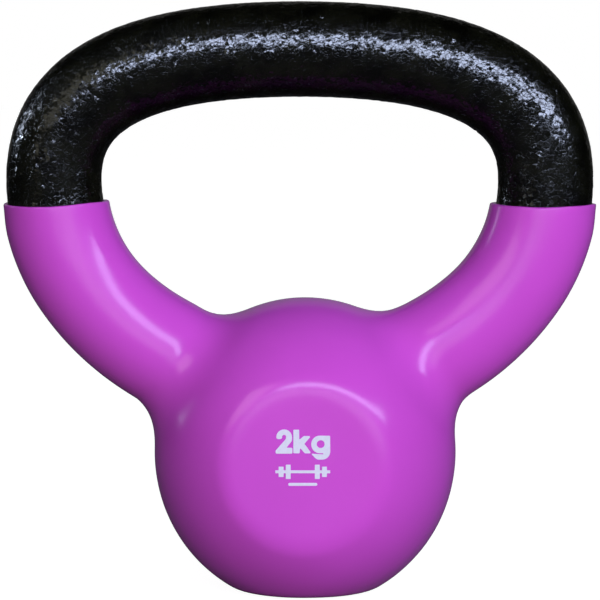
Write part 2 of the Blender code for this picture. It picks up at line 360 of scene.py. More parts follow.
def lip_drift(points, waver):
    """How far the coat's lip runs high or low round each horn, as it does when a dip drains."""
    side, turn = round_horn(points)
    wave = np.where(side < 0, LEFT_BAY, RIGHT_BAY) * ease(0.1, 1.0, -np.cos(turn - BAY_TURN))
    for height, waves, start, by_side in LIP_WAVES:
        wave += height * np.cos(waves * turn + by_side * side + start)
    return waver * wave


def lip_thinning(points, most):
    """How much thinner the coat is near its lip, on the outer side of each horn."""
    return most * ease(0.3, 1.0, np.cos(round_horn(points)[1]))


# ---------------------------------------------------------------- the coat


def horn_stations(top):
    """Places along the horn, from just outside the ball to a level ring at this height."""
    from_ball = np.linalg.norm(CENTRELINE - (0, BASE_DROP), axis=1)
    nearest = max(BALL_AXES) + HORN_FILLET / 2
    first = int(np.flatnonzero(from_ball > nearest)[-1])
    last = int(np.flatnonzero(CENTRELINE[:, 1] >= top)[-1])
    runs = np.linalg.norm(np.diff(CENTRELINE[last : first + 1], axis=0), axis=1)
    travelled = np.concatenate(((0,), np.cumsum(runs)))
    count = round(travelled[-1] / RING_SPACING) + 1
    stations = []
    for distance in np.linspace(travelled[-1], 0, count):
        index = last + int(np.abs(travelled - distance).argmin())
        along = CENTRELINE[index + 1] - CENTRELINE[index - 1]
        along /= np.linalg.norm(along)
        stations.append([CENTRELINE[index], np.array((-along[1], along[0]))])
    stations[-1] = [np.array((LIP_CENTRE, top)), np.array((1.0, 0.0))]
    return stations


def rim_edges(mesh, side):
    """The open edges on one side of the kettlebell."""
    return [edge for edge in mesh.edges if edge.is_boundary and side * edge.verts[0].co.x > 0]


def extrude_rim(mesh, edges):
    """Draws out an open rim, and gives the new one's edges."""
    made = bmesh.ops.extrude_edge_only(mesh, edges=edges)["geom"]
    return [item for item in made if isinstance(item, bmesh.types.BMEdge) and item.is_boundary]


def draw_out_horn(cage, side, stations):
    """Extrudes the open patch on one side of the ball, ring by ring, up to the lip."""
    edges = rim_edges(cage, side)
    rim = {vert for edge in edges for vert in edge.verts}
    middle = sum((vert.co for vert in rim), Vector()) / len(rim)
    across = stations[0][1]
    corner = math.pi / 4
    step = 2 * math.pi / (4 * HORN_GRID)
    angles = {}
    for vert in rim:
        local = vert.co - middle
        angle = math.atan2(local.y, side * local.x * across[0] + local.z * across[1])
        angles[vert] = corner + step * round((angle - corner) / step)
    for centre, across in stations:
        edges = extrude_rim(cage, edges)
        new_angles = {}
        for vert in {vert for edge in edges for vert in edge.verts}:
            behind = (edge.other_vert(vert) for edge in vert.link_edges)
            angle = angles[next(old for old in behind if old in angles)]
            new_angles[vert] = angle
            x, z = centre + across * HORN_RADIUS * math.cos(angle)
            vert.co = (side * x, HORN_RADIUS * math.sin(angle), z)
        angles = new_angles


def coat_skin(top):
    """The coat's outside up to this height: a rounded cube with two faces grown into horns."""
    cage = bmesh.new()
    bmesh.ops.create_cube(cage, size=2)
    bmesh.ops.subdivide_edges(cage, edges=cage.edges[:], cuts=BALL_GRID - 1, use_grid_fill=True)
    limit = HORN_GRID / BALL_GRID
    patches = []
    for face in cage.faces:
        x, y, z = face.calc_center_median()
        if abs(y) < limit and max(x, z) > 0.99 and abs(min(x, z)) < limit:
            patches.append(face)
    bmesh.ops.delete(cage, geom=patches, context="FACES")
    turn = Matrix.Rotation(-math.pi / 4, 3, "Y")
    for vert in cage.verts:
        even = Vector([math.tan(value * math.pi / 4) for value in vert.co]).normalized()
        vert.co = (turn @ even) * max(BALL_AXES) + Vector(BALL_CENTRE)
    stations = horn_stations(top)
    for side in (1, -1):
        draw_out_horn(cage, side, stations)
    bmesh.ops.recalc_face_normals(cage, faces=cage.faces[:])
    mesh = bpy.data.meshes.new("coat_cage")
    cage.to_mesh(mesh)
    cage.free()
    guide = bpy.data.objects.new("coat_cage", mesh)
    bpy.context.scene.collection.objects.link(guide)
    soften = guide.modifiers.new("Subdivision", "SUBSURF")
    soften.levels = SKIN_LEVELS
    graph = bpy.context.evaluated_depsgraph_get()
    fine = bpy.data.meshes.new_from_object(guide.evaluated_get(graph))
    bpy.data.objects.remove(guide)
    bpy.data.meshes.remove(mesh)
    return fine


def places_of(mesh):
    flat = np.empty(len(mesh.vertices) * 3, np.float32)
    mesh.vertices.foreach_get("co", flat)
    return flat.reshape(-1, 3).astype(np.float64)


def set_places(mesh, points):
    mesh.vertices.foreach_set("co", points.astype(np.float32).ravel())
    mesh.update()


def swell(points, depth):
    """A slow unevenness of the vinyl, where it ran and set while it drained."""
    waves = [
        sum(height * noise.noise(Vector(point) * rate) for height, rate in COAT_WAVES)
        for point in points
    ]
    return depth * np.array(waves)


def close_lip(shell, side, outer_count, sizes):
    """Rolls one lip over from the coat's outside and joins it to the inside."""
    rims = rim_edges(shell, side)
    edges = [edge for edge in rims if edge.verts[0].index < outer_count]
    rim_inside = [edge for edge in rims if edge.verts[0].index >= outer_count]
    for depth, rise in lip_profile(sizes.lip_rounding):
        edges = extrude_rim(shell, edges)
        ring = list({vert for edge in edges for vert in edge.verts})
        places = np.array([vert.co for vert in ring], float)
        places[:, 2] = LIP_HEIGHT + rise + lip_drift(places, sizes.lip_waver)
        thin = lip_thinning(places, sizes.lip_thinning) * max(0.0, 1 - depth / ENAMEL_DEPTH)
        places = settle(places, depth + thin + sizes.coat_swell, np.ones(len(ring), bool))
        for vert, where in zip(ring, places):
            vert.co = where
    bmesh.ops.bridge_loops(shell, edges=edges + rim_inside)


def build_coat(sizes):
    top = LIP_HEIGHT - sizes.lip_rounding
    skin = coat_skin(top)
    points = places_of(skin)
    near_lip = points[:, 2] > LIP_HEIGHT - DRIFT_REACH
    near_lip &= np.abs(points[:, 0]) > LIP_CENTRE - 2 * HORN_RADIUS
    drift = lip_drift(points, sizes.lip_waver)
    drift *= ease(LIP_HEIGHT - DRIFT_REACH, top, points[:, 2])
    points[:, 2] += np.where(near_lip, drift, 0)
    outer = settle(points, 0.0, near_lip)
    _, slope = outer_form(outer)
    inner = settle(outer - slope * COAT_WALL, COAT_WALL)
    wave = swell(outer, sizes.coat_swell)
    wave *= 1 - ease(LIP_HEIGHT - EVEN_REACH, top, outer[:, 2])
    thinning = lip_thinning(outer, sizes.lip_thinning) * near_lip
    wave -= thinning * ease(LIP_HEIGHT - THINNING_REACH, top, outer[:, 2])
    # The coat may thin towards the casting, but the record's outside is as far as it goes out.
    outer += unit(slope) * (wave - sizes.coat_swell)[:, None]
    shell = bmesh.new()
    set_places(skin, outer)
    shell.from_mesh(skin)
    set_places(skin, inner)
    skin.flip_normals()
    shell.from_mesh(skin)
    bpy.data.meshes.remove(skin)
    shell.verts.ensure_lookup_table()
    for side in (1, -1):
        close_lip(shell, side, len(outer), sizes)
    bmesh.ops.recalc_face_normals(shell, faces=shell.faces[:])
    mesh = bpy.data.meshes.new("dipped_coat")
    shell.to_mesh(mesh)
    shell.free()
    mesh.shade_smooth()
    return mesh


def lip_profile(rounding):
    """The lip's section from outside to inside, as (depth in the form, height over the lip)."""
    section = []
    for step in range(1, LIP_STEPS + 1):
        turn = math.pi / 2 * step / LIP_STEPS
        section.append((rounding * (1 - math.cos(turn)), rounding * (math.sin(turn) - 1)))
    shelf = ENAMEL_DEPTH - rounding
    section += [(rounding + share * shelf, rise) for share, rise in LIP_SHELF]
    section.append((ENAMEL_DEPTH - SHELF_END, -SHELF_END_DROP))
    section.append((ENAMEL_DEPTH, -ENAMEL_DROP))
    section.append((COAT_WALL, -CASTING_DROP))
    return section


# ---------------------------------------------------------------- the enamel


def grip_rings(count, low):
    """Rings of the grip from the left lip over the top to the right one.

    Each is a centre, the direction of its plane, and how much it leans from square to the tube.
    """
    shown = CENTRELINE[CENTRELINE[:, 1] >= low]
    horn = CENTRELINE[CURVE_POINTS:]
    right = np.concatenate((shown, [(np.interp(-low, -horn[:, 1], horn[:, 0]), low)]))
    line = np.concatenate((right[::-1] * (-1, 1), right[1:]))
    travelled = np.concatenate(((0,), np.cumsum(np.linalg.norm(np.diff(line, axis=0), axis=1))))
    spots = np.linspace(0, travelled[-1], count)
    centres = np.stack([np.interp(spots, travelled, line[:, axis]) for axis in (0, 1)], axis=1)
    slope = np.gradient(line, axis=0)
    slope /= np.linalg.norm(slope, axis=1)[:, None]
    along = np.stack([np.interp(spots, travelled, slope[:, axis]) for axis in (0, 1)], axis=1)
    along /= np.linalg.norm(along, axis=1)[:, None]
    square = np.stack((-along[:, 1], along[:, 0]), axis=1)
    to_end = np.minimum(spots, travelled[-1] - spots)
    level = np.stack((np.where(centres[:, 0] < 0, -1.0, 1.0), np.zeros(count)), axis=1)
    share = (1 - ease(0.0, LEVEL_REACH, to_end))[:, None]
    plane = square * (1 - share) + level * share
    plane /= np.linalg.norm(plane, axis=1)[:, None]
    return centres, plane, square, to_end


def hammered(points, pitch):
    """The height, from about -1 to 1, of the hammered finish at each point."""
    noise.seed_set(HAMMER_SEED)
    heights = []
    for point in points:
        place = Vector(point) / pitch
        bent = place + noise.noise_vector(place * 0.6) * FACET_BEND
        reach, centres = noise.voronoi(bent)
        groove = min((reach[1] - reach[0]) / GROOVE_WIDTH, 1.0)
        tilt = noise.cell_vector(centres[0] * CELL_SPREAD) - HALF
        lean = FACET_LEAN * tilt.dot(bent - centres[0])
        ripple = FACET_RIPPLE * noise.noise(place * 1.7)
        heights.append(GROOVE_DEPTH * groove + lean + ripple - FACET_SINK)
    return np.array(heights)


def grip_skin(count, radius, sizes):
    """One skin of the enamel, ring by ring, and how far each point is from the nearer end."""
    turns = np.arange(GRIP_SIDES) * 2 * math.pi / GRIP_SIDES
    centres, plane, square, to_end = grip_rings(count, LIP_HEIGHT - ENAMEL_TUCK)
    lean = (plane * square).sum(axis=1)
    flat = plane[:, None, :] * (radius / lean)[:, None, None] * np.cos(turns)[None, :, None]
    points = np.empty((count, GRIP_SIDES, 3))
    points[:, :, 0] = centres[:, None, 0] + flat[:, :, 0]
    points[:, :, 2] = centres[:, None, 1] + flat[:, :, 1]
    points[:, :, 1] = radius * np.sin(turns)[None, :]
    away = np.empty_like(points)
    away[:, :, 0] = square[:, None, 0] * np.cos(turns)
    away[:, :, 2] = square[:, None, 1] * np.cos(turns)
    away[:, :, 1] = np.sin(turns)[None, :]
    ends = np.repeat(to_end, GRIP_SIDES)
    points = points.reshape(-1, 3)
    points[:, 2] += lip_drift(points, sizes.lip_waver) * (1 - ease(0.0, DRIFT_REACH, ends))
    return points, away.reshape(-1, 3), ends


def build_enamel(sizes):
    outer, away, ends = grip_skin(GRIP_RINGS, GRIP_RADIUS, sizes)
    height = hammered(outer, sizes.hammer_pitch) * ease(HAMMERED_FROM, HAMMERED_FULLY, ends)
    outer += away * (sizes.hammer_depth * height)[:, None]
    inner = grip_skin(GRIP_INNER_RINGS, GRIP_RADIUS - ENAMEL_FILM, sizes)[0]
    faces = []
    loops = []
    base = 0
    for count, inward in ((GRIP_RINGS, False), (GRIP_INNER_RINGS, True)):
        for ring in range(count - 1):
            for side in range(GRIP_SIDES):
                a = base + ring * GRIP_SIDES + side
                b = base + ring * GRIP_SIDES + (side + 1) % GRIP_SIDES
                quad = (a, b, b + GRIP_SIDES, a + GRIP_SIDES)
                faces.append(quad[::-1] if inward else quad)
        loops.append((base, base + (count - 1) * GRIP_SIDES))
        base += count * GRIP_SIDES
    for end in (0, 1):
        outside, inside = loops[0][end], loops[1][end]
        for side in range(GRIP_SIDES):
            after = (side + 1) % GRIP_SIDES
            quad = (outside + side, outside + after, inside + after, inside + side)
            faces.append(quad if end else quad[::-1])
    mesh = bpy.data.meshes.new("hammered_enamel")
    mesh.from_pydata(np.concatenate((outer, inner)).tolist(), [], faces)
    turned = bmesh.new()
    turned.from_mesh(mesh)
    bmesh.ops.recalc_face_normals(turned, faces=turned.faces[:])
    turned.to_mesh(mesh)
    turned.free()
    mesh.shade_smooth()
    return mesh


# ---------------------------------------------------------------- the print


def rounded_outline(corners, size):
    """The points of a closed outline whose corners are (x, y, radius), all scaled by size."""
    outline = []
    for index, (x, y, radius) in enumerate(corners):
        corner = Vector((x, y))
        back = (Vector(corners[index - 1][:2]) - corner).normalized()
        ahead = (Vector(corners[(index + 1) % len(corners)][:2]) - corner).normalized()
        opening = back.angle(ahead)
        centre = corner + (back + ahead).normalized() * radius / math.sin(opening / 2)
        start = corner + back * radius / math.tan(opening / 2) - centre
        turn = math.pi - opening
        if back.x * ahead.y - back.y * ahead.x > 0:
            turn = -turn
        steps = max(1, round(abs(turn) / ARC_STEP))
        for step in range(steps + 1):
            outline.append((centre + Matrix.Rotation(turn * step / steps, 2) @ start) * size)
    return outline


def barbell_outline(width, height):
    """A bar through an inner and an outer plate at each end, as corners of (x, y, radius)."""
    upper = [(x * width, y * height) for x, y in BARBELL_STEPS]
    right = upper + [(x, -y) for x, y in reversed(upper)]
    both = right + [(-x, -y) for x, y in right]
    return [(x, y, BARBELL_ROUNDING) for x, y in both]


def rule_outline(width, height):
    """A short bar with round ends, as corners of (x, y, radius)."""
    x, y = width / 2, height / 2
    radius = y * RULE_ROUNDING
    return [(x, y, radius), (x, -y, radius), (-x, -y, radius), (-x, y, radius)]


def ink_film(name, outlines, sizes, origin):
    """A film of ink on the front disc, from outlines drawn round a point at this (x, z)."""
    half = sizes.ink_thickness / 2
    curve = bpy.data.curves.new(name, "CURVE")
    curve.dimensions = "2D"
    curve.fill_mode = "BOTH"
    curve.extrude = half
    curve.bevel_depth = half
    curve.bevel_resolution = 2
    curve.offset = -half
    for outline in outlines:
        spline = curve.splines.new("POLY")
        spline.points.add(len(outline) - 1)
        for point, (x, y) in zip(spline.points, outline):
            point.co = (x, y, 0, 1)
        spline.use_cyclic_u = True
    drawn = bpy.data.objects.new(name, curve)
    bpy.context.scene.collection.objects.link(drawn)
    graph = bpy.context.evaluated_depsgraph_get()
    mesh = bpy.data.meshes.new_from_object(drawn.evaluated_get(graph))
    bpy.data.objects.remove(drawn)
    bpy.data.curves.remove(curve)
    place = Matrix.Translation((origin[0], -DISC_REACH, origin[1]))
    mesh.transform(place @ Matrix.Rotation(math.pi / 2, 4, "X"))
    points = places_of(mesh)
    on_disc = points.copy()
    on_disc[:, 1] = -DISC_REACH
    points[:, 1] += sizes.coat_swell - swell(on_disc, sizes.coat_swell) - half
    set_places(mesh, points)
    mesh.name = name
    return mesh


# ---------------------------------------------------------------- materials


def group(name, inputs, outputs):
    """An empty node group that takes a place and these numbers, and puts out these numbers."""
    made = bpy.data.node_groups.new(name, "ShaderNodeTree")
    made.interface.new_socket(name="Place", in_out="INPUT", socket_type="NodeSocketVector")
    for label, default in inputs.items():
        socket = made.interface.new_socket(
            name=label, in_out="INPUT", socket_type="NodeSocketFloat"
        )
        socket.default_value = default
    for label in outputs:
        made.interface.new_socket(name=label, in_out="OUTPUT", socket_type="NodeSocketFloat")
    come = made.nodes.new("NodeGroupInput").outputs
    go = made.nodes.new("NodeGroupOutput").inputs
    return made, come, go


def fill_inputs(tree, made, values):
    """Links or sets a node's inputs, by name or number."""
    for key, value in values.items():
        if isinstance(value, bpy.types.NodeSocket):
            tree.links.new(value, made.inputs[key])
        else:
            made.inputs[key].default_value = value


def node(tree, kind, inputs=None, **settings):
    """A node with its settings and its inputs."""
    made = tree.nodes.new(kind)
    for key, value in settings.items():
        setattr(made, key, value)
    fill_inputs(tree, made, inputs or {})
    return made


def maths(tree, operation, *values):
    return node(tree, "ShaderNodeMath", dict(enumerate(values)), operation=operation).outputs[0]


def vector_maths(tree, operation, *values):
    """The node itself, because some operations put out a number and others a vector."""
    return node(tree, "ShaderNodeVectorMath", dict(enumerate(values)), operation=operation)


def scaled(tree, vector, amount):
    inputs = {0: vector, "Scale": amount}
    return node(tree, "ShaderNodeVectorMath", inputs, operation="SCALE").outputs[0]


def remap(tree, value, low, high, first=0.0, last=1.0, **settings):
    """Turns low to high into first to last, and holds the ends beyond them."""
    inputs = {0: value, 1: low, 2: high, 3: first, 4: last}
    return node(tree, "ShaderNodeMapRange", inputs, **settings).outputs[0]


def noise_texture(tree, place, scale, detail):
    inputs = {"Vector": place, "Scale": scale, "Detail": detail}
    return node(tree, "ShaderNodeTexNoise", inputs).outputs


def cell_texture(tree, place, scale, **settings):
    inputs = {"Vector": place, "Scale": scale}
    return node(tree, "ShaderNodeTexVoronoi", inputs, **settings).outputs


def chance_of(tree, colour):
    """A random number from 0 to 1 for each cell."""
    inputs = {"Vector": colour}
    return node(tree, "ShaderNodeTexWhiteNoise", inputs, noise_dimensions="3D").outputs["Value"]


def bump(tree, height, strength, distance, **under):
    inputs = {"Height": height, "Strength": strength, "Distance": distance, **under}
    return node(tree, "ShaderNodeBump", inputs).outputs[0]


def mottle_group():
    """Cloudy patches: a mask from 0 to 1."""
    tree, come, go = group("Mottle", {"Scale": 60.0, "Spread": 0.25}, ["Mask"])
    cloud = noise_texture(tree, come["Place"], come["Scale"], 4.0)
    low = maths(tree, "SUBTRACT", 0.5, come["Spread"])
    high = maths(tree, "ADD", 0.5, come["Spread"])
    tree.links.new(remap(tree, cloud["Fac"], low, high), go["Mask"])
    return tree


def pits_group():
    """Sparse round pits and specks: a mask from 0 to 1."""
    tree, come, go = group("Pits", {"Scale": 120.0, "Size": 0.06, "Share": 0.02}, ["Mask"])
    cells = cell_texture(tree, come["Place"], come["Scale"])
    rare = maths(tree, "LESS_THAN", chance_of(tree, cells["Color"]), come["Share"])
    spot = remap(tree, cells["Distance"], come["Size"], 0.0, interpolation_type="SMOOTHSTEP")
    tree.links.new(maths(tree, "MULTIPLY", rare, spot), go["Mask"])
    return tree


def grain_group():
    """Fine grain for a bump: two octaves of noise as a height."""
    tree, come, go = group("Grain", {"Scale": 900.0, "Fine": 0.4}, ["Height"])
    broad = noise_texture(tree, come["Place"], come["Scale"], 2.0)
    closer = maths(tree, "MULTIPLY", come["Scale"], 3.3)
    fine = noise_texture(tree, come["Place"], closer, 2.0)
    share = maths(tree, "MULTIPLY", fine["Fac"], come["Fine"])
    tree.links.new(maths(tree, "ADD", broad["Fac"], share), go["Height"])
    return tree


def facets_group():
    """Small flat facets, each leaning its own way and a few steeply, with grooves between."""
    tree, come, go = group(
        "Hammered facets", {"Scale": 1000.0, "Groove": 0.4}, ["Height", "Groove"]
    )
    bend = noise_texture(tree, come["Place"], come["Scale"], 1.0)
    pull = vector_maths(tree, "SUBTRACT", bend["Color"], HALF).outputs[0]
    place = scaled(tree, come["Place"], come["Scale"])
    bent = vector_maths(tree, "ADD", place, scaled(tree, pull, 0.9)).outputs[0]
    cells = cell_texture(tree, bent, 1.0)
    edges = cell_texture(tree, bent, 1.0, feature="DISTANCE_TO_EDGE")
    groove = remap(
        tree, edges["Distance"], 0.0, 0.07, 1.0, 0.0, interpolation_type="SMOOTHSTEP"
    )
    tilt = vector_maths(tree, "SUBTRACT", cells["Color"], HALF).outputs[0]
    within = vector_maths(tree, "SUBTRACT", bent, cells["Position"]).outputs[0]
    lean = vector_maths(tree, "DOT_PRODUCT", tilt, within).outputs["Value"]
    rare = maths(tree, "POWER", chance_of(tree, cells["Color"]), 11.0)
    steep = maths(tree, "MULTIPLY_ADD", rare, 2.6, 0.8)
    lean = maths(tree, "MULTIPLY", lean, steep)
    sunk = maths(tree, "MULTIPLY", groove, come["Groove"])
    tree.links.new(maths(tree, "SUBTRACT", lean, sunk), go["Height"])
    tree.links.new(groove, go["Groove"])
    return tree


EFFECTS = {
    "Mottle": mottle_group,
    "Pits": pits_group,
    "Grain": grain_group,
    "Hammered facets": facets_group,
}


def effect(tree, name, **values):
    """Places a shared effect in a material with its own values, and gives what it puts out."""
    shared = bpy.data.node_groups.get(name) or EFFECTS[name]()
    made = node(tree, "ShaderNodeGroup", values, node_tree=shared)
    return made.outputs[0] if len(made.outputs) == 1 else made.outputs


def start_material(name):
    made = bpy.data.materials.new(name)
    made.use_nodes = True
    tree = made.node_tree
    shader = tree.nodes["Principled BSDF"]
    place = tree.nodes.new("ShaderNodeTexCoord").outputs["Object"]
    return made, tree, shader, place


def set_finish(tree, shader, tone, roughness, normal):
    for name, source in (("Base Color", tone), ("Roughness", roughness), ("Normal", normal)):
        tree.links.new(source, shader.inputs[name])


def blend_colours(tree, mask, first, second):
    mix = tree.nodes.new("ShaderNodeMix")
    mix.data_type = "RGBA"
    tree.links.new(mask, mix.inputs[0])
    for slot, colour in ((6, first), (7, second)):
        if isinstance(colour, bpy.types.NodeSocket):
            tree.links.new(colour, mix.inputs[slot])
        else:
            mix.inputs[slot].default_value = (*colour, 1)
    return mix.outputs[2]


def spread(tree, mask, low, high):
    return remap(tree, mask, 0.0, 1.0, low, high)


def shade(colour, amount):
    return [min(1.0, channel * amount) for channel in colour]


def vinyl_material(colours):
    made, tree, shader, place = start_material("Purple vinyl")
    colour = colours.vinyl
    clouds = effect(tree, "Mottle", Place=place, Scale=38.0, Spread=0.22)
    pits_and_shade = effect(tree, "Pits", Place=place, Scale=95.0, Size=0.035, Share=0.05)
    specks = effect(tree, "Pits", Place=place, Scale=160.0, Size=0.03, Share=0.02)
    grain = effect(tree, "Grain", Place=place, Scale=700.0, Fine=0.35)
    tone = blend_colours(tree, clouds, shade(colour, 0.97), shade(colour, 1.03))
    # The pits are real dips in the bump, and their darker colour is painted shade inside them.
    tone = blend_colours(tree, pits_and_shade, tone, shade(colour, 0.35))
    tone = blend_colours(tree, specks, tone, PALE_SPECK)
    wear = effect(tree, "Mottle", Place=place, Scale=120.0, Spread=0.3)
    dips = maths(tree, "MULTIPLY", pits_and_shade, -3.0)
    relief = bump(tree, maths(tree, "ADD", dips, grain), 0.25, 0.00003)
    set_finish(tree, shader, tone, spread(tree, wear, 0.19, 0.23), relief)
    shader.inputs["Specular IOR Level"].default_value = 0.42
    return made


def enamel_material(colours):
    made, tree, shader, place = start_material("Black hammered enamel")
    colour = colours.enamel
    broad, broad_groove_and_shade = effect(tree, "Hammered facets", Place=place, Scale=980.0, Groove=0.05)
    fine, fine_groove = effect(tree, "Hammered facets", Place=place, Scale=2100.0, Groove=0.05)
    clouds = effect(tree, "Mottle", Place=place, Scale=170.0, Spread=0.12)
    # The lighter olive patches are partly a random tone of the enamel and partly a painted olive
    # reflection.
    tone = blend_colours(tree, clouds, shade(colour, 0.5), shade(colour, 2.6))
    # The grooves between the facets are painted darker: painted shade in the creases, on top of
    # their real rougher finish.
    tone = blend_colours(tree, broad_groove_and_shade, tone, shade(colour, 0.1))
    grooves = maths(tree, "MAXIMUM", broad_groove_and_shade, fine_groove)
    relief = bump(tree, broad, 1.0, 0.00018)
    relief = bump(tree, fine, 1.0, 0.00003, Normal=relief)
    set_finish(tree, shader, tone, spread(tree, grooves, 0.09, 0.22), relief)
    # The facets hide each other where they are seen edge on, so the gloss fades to the outline.
    facing = node(tree, "ShaderNodeLayerWeight", {"Blend": 0.5}).outputs["Facing"]
    gloss = remap(tree, facing, 0.12, 0.5, 0.22, 0.025)
    tree.links.new(gloss, shader.inputs["Specular IOR Level"])
    return made


def ink_material(colours):
    made, tree, shader, place = start_material("White screen print")
    colour = colours.ink
    clouds = effect(tree, "Mottle", Place=place, Scale=1400.0, Spread=0.3)
    pinholes = effect(tree, "Pits", Place=place, Scale=2600.0, Size=0.35, Share=0.06)
    grain = effect(tree, "Grain", Place=place, Scale=3000.0, Fine=0.4)
    thin_ink = [0.6 * a + 0.4 * b for a, b in zip(colour, colours.vinyl)]
    tone = blend_colours(tree, clouds, shade(colour, 0.94), shade(colour, 1.04))
    tone = blend_colours(tree, pinholes, tone, thin_ink)
    relief = bump(tree, grain, 0.3, 0.00002)
    set_finish(tree, shader, tone, spread(tree, clouds, 0.42, 0.55), relief)
    return made


def iron_material(colours):
    made, tree, shader, place = start_material("Cast iron")
    colour = colours.iron
    clouds = effect(tree, "Mottle", Place=place, Scale=160.0, Spread=0.25)
    rust = effect(tree, "Mottle", Place=place, Scale=45.0, Spread=0.12)
    grain = effect(tree, "Grain", Place=place, Scale=1100.0, Fine=0.6)
    tone = blend_colours(tree, clouds, shade(colour, 0.7), shade(colour, 1.35))
    tone = blend_colours(tree, maths(tree, "MULTIPLY", rust, 0.25), tone, RUST)
    relief = bump(tree, grain, 0.8, 0.00025)
    set_finish(tree, shader, tone, spread(tree, clouds, 0.55, 0.8), relief)
    shader.inputs["Metallic"].default_value = 0.75
    return made


def add_piece(name, mesh, finish, slot, *nodes):
    """Puts a finished piece into the scene, in the place of these CAD nodes."""
    mesh.materials.clear()
    mesh.materials.append(finish)
    piece = bpy.data.objects.new(name, mesh)
    bpy.context.scene.collection.objects.link(piece)
    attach(piece, "root")
    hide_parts(*nodes)
    return piece


# ---------------------------------------------------------------- settings


def colour_setting(name, description, default):
    return bpy.props.FloatVectorProperty(
        name=name, description=description, default=default, subtype="COLOR", size=3, min=0, max=1
    )


def length_setting(name, description, default):
    return bpy.props.FloatProperty(
        name=name, description=description, default=default, unit="LENGTH", precision=5, min=0
    )


def power_setting(name, description, default):
    return bpy.props.FloatProperty(
        name=name, description=description, default=default, unit="POWER", min=0
    )


class KettlebellSizes(bpy.types.PropertyGroup):
    lip_rounding: length_setting(
        "Lip rounding", "Radius of the coat's lip at its outer edge", 0.00045
    )
    lip_waver: length_setting(
        "Lip waver", "How unevenly the coat's lip runs round each horn", 0.0003
    )
    lip_thinning: length_setting(
        "Lip thinning", "How much thinner the lip is on the outside of each horn", 0.0004
    )
    coat_swell: length_setting(
        "Coat swell", "Depth of the slow unevenness in the coat", 0.00004
    )
    hammer_pitch: length_setting(
        "Hammer pitch", "Width of one facet of the hammered enamel", 0.0019
    )
    hammer_depth: length_setting(
        "Hammer depth", "Depth of the hammered enamel's facets", 0.00005
    )
    ink_thickness: length_setting("Ink thickness", "Thickness of the screen print", 0.00006)


class KettlebellColours(bpy.types.PropertyGroup):
    vinyl: colour_setting("Vinyl", "Colour of the dip coat", (0.62, 0.077, 0.62))
    enamel: colour_setting("Enamel", "Colour of the grip's enamel", (0.0018, 0.0019, 0.0010))
    ink: colour_setting("Ink", "Colour of the screen print", (0.74, 0.74, 0.88))
    iron: colour_setting("Iron", "Colour of the bare casting", (0.09, 0.09, 0.095))


class KettlebellStudio(bpy.types.PropertyGroup):
    key: power_setting("Key", "Power of the main light", 14.0)
    edge_strip: power_setting("Edge strip", "Power of the thin light from the side", 0.35)
    front_fill: power_setting("Front fill", "Power of the soft light from the front", 13.6)
    key_skirt: power_setting("Key skirt", "Power of the dim light under the key", 2.9)
    grip_band: power_setting("Grip band", "Power of the light along the grip", 72.0)
    left_wing: power_setting("Left wing", "Power of the light from the left", 3.2)
    grip_edge: power_setting("Grip edge", "Power of the light on the grip's edge", 7.0)


# ---------------------------------------------------------------- operators


class KETTLEBELL_OT_casting(bpy.types.Operator):
    """Gives the bare casting inside the coat its cast iron finish"""

    bl_idname = "kettlebell.casting"
    bl_label = "Casting"

    def execute(self, context):
        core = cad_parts["core_casting"]
        finish = iron_material(context.scene.kettlebell_colours)
        for slot in core.material_slots:
            slot.material = finish
        return {"FINISHED"}


class KETTLEBELL_OT_enamel(bpy.types.Operator):
    """Builds the hammered enamel on the grip"""

    bl_idname = "kettlebell.enamel"
    bl_label = "Enamel"

    def execute(self, context):
        mesh = build_enamel(context.scene.kettlebell_sizes)
        finish = enamel_material(context.scene.kettlebell_colours)
        add_piece("hammered_enamel", mesh, finish, "black_enamel", "handle_enamel")
        return {"FINISHED"}


class KETTLEBELL_OT_coat(bpy.types.Operator):
    """Builds the dipped vinyl coat over the ball and the horns, with its rounded lips"""

    bl_idname = "kettlebell.coat"
    bl_label = "Coat"

    def execute(self, context):
        mesh = build_coat(context.scene.kettlebell_sizes)
        finish = vinyl_material(context.scene.kettlebell_colours)
        add_piece("dipped_coat", mesh, finish, "purple_vinyl", "vinyl_coat")
        return {"FINISHED"}


class KETTLEBELL_OT_print(bpy.types.Operator):
    """Prints the weight, the barbell mark and the short rule on the front disc"""

    bl_idname = "kettlebell.print"
    bl_label = "Print"

    def execute(self, context):
        sizes = context.scene.kettlebell_sizes
        ink = ink_material(context.scene.kettlebell_colours)
        low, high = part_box("printed_numeral_2")
        height = high.z - low.z
        shapes = {
            "numeral_2": (NUMERAL_2,),
            "letter_k": (LETTER_K,),
            "letter_g": (LETTER_G, LETTER_G_COUNTER),
        }
        for name, outlines in shapes.items():
            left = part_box(f"printed_{name}")[0].x
            drawn = [rounded_outline(outline, height / 100) for outline in outlines]
            left -= min(point.x for point in drawn[0])
            mesh = ink_film(f"ink_{name}", drawn, sizes, (left, low.z))
            add_piece(f"ink_{name}", mesh, ink, "white_print", f"printed_{name}")
        for name, outline in {"emblem": barbell_outline, "rule": rule_outline}.items():
            low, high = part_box(f"printed_{name}")
            middle = ((low.x + high.x) / 2, (low.z + high.z) / 2)
            drawn = [rounded_outline(outline(high.x - low.x, high.z - low.z), 1)]
            mesh = ink_film(f"ink_{name}", drawn, sizes, middle)
            add_piece(f"ink_{name}", mesh, ink, "white_print", f"printed_{name}")
        return {"FINISHED"}


